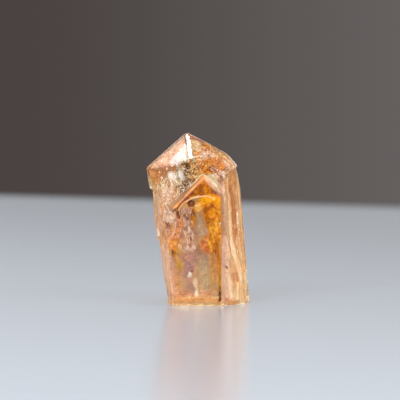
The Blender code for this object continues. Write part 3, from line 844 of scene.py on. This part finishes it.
# Painted highlight: a butter line that stands in for the light along the edge between the two right
# front faces.
crack_film("flank_painted_highlight", butter,
           [(3.3, 14.65), (3.5, 14.65), (3.75, 11.3), (3.95, 8.15), (4.2, 6.65), (4.0, 6.4),
            (3.7, 8.15), (3.5, 11.3)],
           RIGHT_FRONT, depth=0.15, crumple=0.03, ragged=0.03, step=0.08, seed=66.0)
crack_film("flank_thin_line", butter,
           [(4.5, 10.5), (4.65, 10.5), (4.8, 6.65), (5.05, 3.2), (5.1, 0.3), (4.95, 0.3), (4.85, 3.2),
            (4.6, 6.65)],
           RIGHT_FRONT, depth=0.15, crumple=0.03, ragged=0.03, step=0.08, seed=67.0)
crack_film("low_streak", butter,
           [(4.6, 2.6), (4.95, 2.6), (4.95, 0.5), (4.6, 0.5)],
           RIGHT_FRONT, depth=0.25, crumple=0.04, ragged=0.03, seed=46.0)
# Painted highlight: a butter line that stands in for the light along the stone's right edge.
crack_film("rim_painted_highlight", butter,
           [(4.6, 14.6), (4.7, 14.5), (4.88, 13.0), (5.13, 10.1), (5.38, 7.2), (5.58, 3.75),
            (5.68, 0.3), (5.5, 0.35), (5.38, 3.8), (5.18, 7.2), (4.93, 10.1), (4.68, 13.0)],
           RIGHT_FRONT, depth=0.2, crumple=0.03, ragged=0.03, seed=47.0)
faint = stain_material(
    "faint_veil", [(190, 140, 105), (222, 180, 148), (245, 215, 190), (255, 240, 225)],
    scale=1.2, grain=0.6, hairs=0.2, stretch=3.0, cover=0.0, clear=0.5, rim=0.8, strength=0.5)
crack_film("back_veil", faint,
           [(-3.6, 13.0), (-1.0, 14.8), (0.6, 12.4), (0.1, 8.0), (-1.9, 6.4), (-3.6, 9.0)],
           BACK_LEFT, depth=0.35, crumple=0.2, step=0.14, seed=84.0)
crack_film("back_right_veil", faint,
           [(0.9, 9.4), (2.6, 11.6), (4.0, 9.0), (3.9, 3.2), (2.2, 1.6), (1.2, 5.0)],
           BACK, depth=0.35, crumple=0.2, step=0.14, seed=85.0)
crack_film("left_striae", striae,
           [(-4.3, 7.65), (-3.4, 7.45), (-2.95, 4.95), (-2.5, 2.3), (-2.7, 0.85), (-3.4, 1.05),
            (-3.85, 4.0)],
           PLATE, depth=0.25, crumple=0.05, seed=48.0)
crack_film("arc_line", butter,
           [(-2.3, 11.0), (-1.8, 11.7), (-0.9, 12.3), (0.0, 12.55), (1.05, 12.6), (1.95, 12.3),
            (1.95, 12.1), (1.05, 12.4), (0.0, 12.3), (-0.85, 12.05), (-1.65, 11.5), (-2.15, 10.85)],
           PLATE, depth=0.2, crumple=0.03, ragged=0.03, step=0.07, seed=90.0)
# Painted highlight: a bright honey line that stands in for the light caught along the ledge of the
# arch's left limb.
crack_film("limb_painted_highlight", honey_line,
           [(-2.95, 11.0), (-2.05, 11.87), (-1.0, 12.9), (0.0, 13.85), (0.6, 14.35), (0.62, 14.22),
            (0.05, 13.72), (-0.95, 12.77), (-2.0, 11.73), (-2.87, 10.87)],
           PLATE, depth=0.15, crumple=0.02, ragged=0.02, step=0.06, seed=91.0)
crack_film("crest_cream", pale,
           [(2.8, 16.8), (3.75, 16.3), (4.3, 15.65), (3.7, 15.35), (3.0, 15.6)],
           TOP_RIGHT, depth=0.2, seed=92.0)
crack_film("gable_pale", pale,
           [(1.05, 15.15), (1.85, 15.5), (3.0, 15.6), (4.0, 15.15), (3.45, 14.0), (3.0, 13.1),
            (2.2, 13.8), (1.2, 14.5)],
           FRONT, depth=0.3, seed=98.0)
crack_film("gable_edge", honey_line,
           [(2.45, 17.45), (3.25, 16.9), (4.05, 16.1), (4.4, 15.55), (4.2, 15.55), (3.8, 16.0),
            (3.15, 16.65), (2.35, 17.3)],
           TOP_RIGHT, depth=0.15, crumple=0.03, ragged=0.03, step=0.07, seed=93.0)
crack_film("shoulder_chip", cream,
           [(-5.6, 13.45), (-5.3, 13.3), (-5.2, 12.85), (-5.5, 12.9)],
           FRONT_LEFT, depth=0.15, crumple=0.03, ragged=0.03, step=0.07, seed=94.0)
crack_film("ridge_hair", cream,
           [(-1.25, 16.75), (-0.55, 16.97), (0.3, 17.07), (0.3, 16.9), (-0.55, 16.78), (-1.2, 16.6)],
           FRONT, depth=0.1, crumple=0.02, ragged=0.03, step=0.06, seed=87.0)
crack_film("limb_fleck", cream,
           [(-1.0, 13.9), (-0.65, 13.9), (-0.6, 13.45), (-0.9, 13.35)],
           FRONT, depth=0.25, crumple=0.03, ragged=0.03, step=0.07, seed=95.0)
# Painted highlight: a cream fleck that stands in for the glint at the peak of the gable.
crack_film("peak_painted_glint", cream,
           [(0.6, 15.1), (0.95, 14.95), (0.95, 14.5), (0.6, 14.5)],
           FRONT, depth=0.2, crumple=0.03, ragged=0.03, step=0.07, seed=96.0)

# ------------------------------------------------------------------ needles and flakes
# Hair-thin hollow tubes that grew lengthwise with the stone, tiny flat cracks, each lying its
# own way, which flash where they catch the light, and specks of a dark mineral.


def add_spindle(mesh, corners, tips):
    """Closed shape from a ring of corners to a tip on each side, if it fits inside the stone."""
    places = [inside_skin(place) for place in corners + tips]
    if None in places:
        return
    verts = [mesh.verts.new(place * MM) for place in places]
    rim = verts[:len(corners)]
    for first, second in zip(rim, rim[1:] + rim[:1]):
        for tip in verts[len(corners):]:
            mesh.faces.new((first, second, tip))


def scattered(chance, outline, plane, deep, count):
    """Random places in mm behind a growth plane, within an outline seen from the front."""
    xs = [x for x, _ in outline]
    zs = [z for _, z in outline]
    made = 0
    while made < count:
        x = chance.uniform(min(xs), max(xs))
        z = chance.uniform(min(zs), max(zs))
        if inside_outline(outline, x, z):
            made += 1
            yield behind_plane(plane, x, z, chance.uniform(*deep))


def flakes(name, material, outline, plane, deep, count, size, seed):
    """Scatters small flat lozenges behind a growth plane, within an outline seen from the front."""
    chance = random.Random(seed)
    mesh = bmesh.new()
    for middle in scattered(chance, outline, plane, deep, count):
        tilt = Vector((chance.gauss(0.0, 0.6), -1.0, chance.gauss(0.3, 0.5))).normalized()
        along = tilt.cross(Vector((1.0, 0.0, chance.gauss(0.0, 0.8)))).normalized()
        along *= chance.uniform(0.5, 1.0)
        across = tilt.cross(along).normalized() * chance.uniform(0.1, 0.4)
        turn = chance.uniform(0.0, math.tau)
        corners = []
        for step in range(5):
            angle = turn + math.tau * step / 5
            reach = size * chance.uniform(0.5, 1.0)
            corners.append(middle + (along * math.cos(angle) + across * math.sin(angle)) * reach)
        add_spindle(mesh, corners, [middle + tilt * side for side in (0.01, -0.01)])
    bmesh.ops.recalc_face_normals(mesh, faces=mesh.faces)
    return inner_piece(name, mesh, material)


def flake_material(name, colour, metallic, roughness):
    """Flat crack full of air, or a speck of dark mineral."""
    material = bpy.data.materials.new(name)
    material.use_nodes = True
    surface = material.node_tree.nodes["Principled BSDF"]
    surface.inputs["Base Color"].default_value = paint(*colour)
    surface.inputs["Metallic"].default_value = metallic
    surface.inputs["Roughness"].default_value = roughness
    return material


def needles(name, material, outline, plane, deep, count, length, spread, seed):
    """Scatters fine needles behind a growth plane; spread is how far they stray from lengthwise."""
    chance = random.Random(seed)
    mesh = bmesh.new()
    for middle in scattered(chance, outline, plane, deep, count):
        lengthwise = GROWTH.col[2]
        along = (lengthwise + lengthwise.cross(plane[0]) * chance.gauss(0.0, spread)).normalized()
        along *= length * chance.uniform(0.3, 1.0)
        across = along.cross(plane[0]).normalized() * chance.uniform(0.02, 0.035)
        sides = (across, plane[0] * 0.02, -across)
        tips = [middle + along * side for side in (0.5, -0.5)]
        add_spindle(mesh, [middle + side for side in sides], tips)
    bmesh.ops.recalc_face_normals(mesh, faces=mesh.faces)
    return inner_piece(name, mesh, material)


silver = flake_material("silver_flake", (255, 240, 225), 0.6, 0.25)
mineral = flake_material("dark_speck", (70, 40, 20), 0.0, 0.4)
tube = flake_material("pale_needle", (255, 235, 215), 0.0, 0.3)
tan = flake_material("tan_needle", (150, 100, 60), 0.0, 0.4)
LEFT_SIDE = [(-5.0, 13.2), (-3.0, 15.2), (-1.2, 15.5), (-1.6, 12.6), (-3.2, 11.2), (-4.8, 11.2)]
BROWN_VEIL_AREA = [(-2.5, 16.2), (-1.0, 16.5), (-0.8, 13.8), (-1.8, 11.8), (-2.6, 13.4)]
LEFT_OF_PLATE = [(-4.0, 11.0), (-2.2, 11.0), (-0.6, 11.0), (-0.4, 6.0), (-2.0, 6.0), (-3.6, 8.0)]
needles("left_needles", tube, LEFT_SIDE, FRONT_LEFT, deep=(0.1, 0.4), count=120, length=1.0, spread=0.4,
        seed=70)
needles("left_hairs", tan, LEFT_SIDE, FRONT_LEFT, deep=(0.1, 0.4), count=60, length=0.8, spread=0.5,
        seed=71)
needles("veil_hairs", mineral, BROWN_VEIL_AREA, FRONT_LEFT, deep=(0.1, 0.4), count=150, length=0.8,
        spread=1.2, seed=72)
needles("veil_needles", tube, BROWN_VEIL_AREA, FRONT_LEFT, deep=(0.08, 0.35), count=60, length=0.9,
        spread=1.2, seed=73)
needles("plate_needles", tube, LEFT_OF_PLATE, PLATE, deep=(0.1, 0.5), count=90, length=0.9, spread=0.3,
        seed=74)
needles("point_needles", tube,
        [(-0.2, 17.8), (1.2, 17.8), (3.0, 16.2), (2.6, 15.0), (-0.2, 14.8)],
        FRONT, deep=(0.1, 0.5), count=60, length=0.9, spread=1.0, seed=75)
needles("crest_needles", tube,
        [(-0.1, 17.6), (0.6, 17.95), (1.75, 16.9), (0.95, 16.4), (0.0, 16.55)],
        TOP_RIGHT, deep=(0.1, 0.3), count=30, length=1.0, spread=1.2, seed=76)
needles("back_needles", tube,
        [(-3.8, 14.0), (-1.0, 15.5), (0.6, 12.0), (0.2, 3.0), (-2.6, 2.5)],
        BACK_LEFT, deep=(0.1, 0.5), count=70, length=1.2, spread=0.3, seed=77)
flakes("left_flakes", silver, LEFT_SIDE, FRONT_LEFT, deep=(0.12, 0.5), count=60, size=0.25, seed=60)
flakes("plate_flakes", silver, LEFT_OF_PLATE, PLATE, deep=(0.15, 0.8), count=50, size=0.2, seed=61)
flakes("arch_flakes", silver,
       [(0.8, 11.0), (2.5, 11.5), (2.4, 6.5), (1.3, 6.5)],
       PLATE, deep=(0.12, 0.5), count=25, size=0.15, seed=62)
flakes("point_flakes", silver,
       [(0.2, 17.8), (1.2, 17.8), (3.0, 16.2), (2.6, 15.0), (-0.2, 14.8)],
       FRONT, deep=(0.15, 0.5), count=30, size=0.18, seed=63)
flakes("left_specks", mineral,
       [(-5.0, 14.0), (-2.0, 16.4), (0.2, 16.4), (0.2, 14.0), (-3.2, 11.0), (-4.8, 11.0)],
       FRONT_LEFT, deep=(0.12, 0.5), count=70, size=0.12, seed=64)
flakes("plate_specks", mineral,
       [(-3.8, 10.8), (-1.0, 12.5), (2.4, 12.6), (2.4, 0.8), (-0.6, 3.0), (-3.0, 5.0)],
       PLATE, deep=(0.1, 0.5), count=60, size=0.1, seed=65)

# ------------------------------------------------------------------ table and light
# A pale smooth table top that ends in shadow, its colour darkened towards the back and the right
# as painted shade, with one small lamp overhead, two soft ones in front, two dim panels behind and soft
# light all round.
TABLE_SIZE = 260.0 * MM

table_mesh = bpy.data.meshes.new("table")
TABLE_CORNERS = 96
turns = np.linspace(0, 2 * math.pi, TABLE_CORNERS + 1)[:-1]
rim = [Vector((math.cos(turn), math.sin(turn), 0.0)) * TABLE_SIZE for turn in turns]
table_mesh.from_pydata([tuple(p) for p in rim], [], [tuple(range(len(rim)))])
table = bpy.data.objects.new("table", table_mesh)
bpy.context.collection.objects.link(table)
table_material = bpy.data.materials.new("pale_table")
table_material.use_nodes = True
tree = table_material.node_tree
place = add_node(tree, "TexCoord").outputs["Object"]
length = add_node(tree, "VectorMath", {"operation": "LENGTH"}, Vector=place).outputs["Value"]
split = add_node(tree, "SeparateXYZ", Vector=place)
past_edge = sums(tree, "MULTIPLY_ADD", split.outputs["X"], 0.5, split.outputs["Y"])
shown = sums(
    tree, "MULTIPLY", rising(tree, past_edge, 208.0 * MM, 168.0 * MM),
    rising(tree, length, TABLE_SIZE, TABLE_SIZE * 0.9))
surface = tree.nodes["Principled BSDF"]
# Painted shade: the table's colour goes from pale to dark towards the back and the right, where less
# light falls.
darker = sums(tree, "MULTIPLY_ADD", split.outputs["X"], 1.6, split.outputs["Y"])
shade = add_node(
    tree, "Mix", {"data_type": "RGBA"}, Factor=rising(tree, darker, -140.0 * MM, 210.0 * MM),
    A=(0.335, 0.36, 0.405, 1.0), B=(0.16, 0.175, 0.20, 1.0))
tree.links.new(shade.outputs["Result"], surface.inputs["Base Color"])
tree.links.new(shown, surface.inputs["Alpha"])
surface.inputs["Roughness"].default_value = 0.2
surface.inputs["IOR"].default_value = 1.35
table_mesh.materials.append(table_material)

world = bpy.data.worlds.new("soft_room")
bpy.context.scene.world = world
world.use_nodes = True
tree = world.node_tree
split = add_node(tree, "SeparateXYZ", Vector=add_node(tree, "TexCoord").outputs["Generated"])
sky = add_node(tree, "ValToRGB", Fac=split.outputs["Z"])
sky.color_ramp.elements[0].position = 0.04
sky.color_ramp.elements[0].color = (0.055, 0.045, 0.042, 1.0)
sky.color_ramp.elements[1].position = 0.24
sky.color_ramp.elements[1].color = (0.95, 0.98, 1.0, 1.0)
lighter = add_node(
    tree, "Mix", {"data_type": "RGBA", "blend_type": "ADD"}, A=sky.outputs["Color"],
    B=(0.05, 0.05, 0.05, 1.0), Factor=rising(tree, split.outputs["X"], -0.09, 0.12))
tree.links.new(lighter.outputs["Result"], tree.nodes["Background"].inputs["Color"])
strength = rising(tree, split.outputs["Y"], -0.95, -0.45, 0.45, 1.25)
dim_side = sums(
    tree, "MULTIPLY", rising(tree, split.outputs["X"], 0.2, 0.6),
    rising(tree, split.outputs["Z"], 0.4, 0.7, 0.0, 0.8))
strength = sums(tree, "MULTIPLY", strength, sums(tree, "SUBTRACT", 1.0, dim_side))
tree.links.new(strength, tree.nodes["Background"].inputs["Strength"])


def soft_lamp(name, towards, distance, size, watts, colour=(1.0, 1.0, 1.0)):
    """Square lamp at a distance from the crystal's middle, facing it."""
    lamp = bpy.data.objects.new(name, bpy.data.lights.new(name, "AREA"))
    lamp.data.size = size
    lamp.data.energy = watts
    lamp.data.color = colour
    direction = Vector(towards).normalized()
    lamp.location = Vector((0.0, 0.0, 10.0 * MM)) + direction * distance
    lamp.rotation_euler = direction.to_track_quat("Z", "Y").to_euler()
    lamp.visible_camera = False
    bpy.context.collection.objects.link(lamp)
    return lamp


soft_lamp("overhead_lamp", (0.104, 0.171, 0.98), 0.5, 0.1, 0.6)
soft_lamp("left_lamp", (-0.5, -0.8, 0.6), 0.5, 0.3, 2.0)
soft_lamp("right_lamp", (0.8, -0.5, 0.5), 0.5, 0.3, 1.0)
soft_lamp("back_left_panel", (-0.42, 0.9, 0.12), 0.5, 0.25, 0.18)
soft_lamp("back_right_panel", (0.42, 0.9, 0.12), 0.5, 0.25, 0.18)

bpy.context.scene.view_settings.view_transform = "Standard"
bpy.context.scene.cycles.max_bounces = 24
bpy.context.scene.cycles.transmission_bounces = 24
bpy.context.scene.cycles.transparent_max_bounces = 24
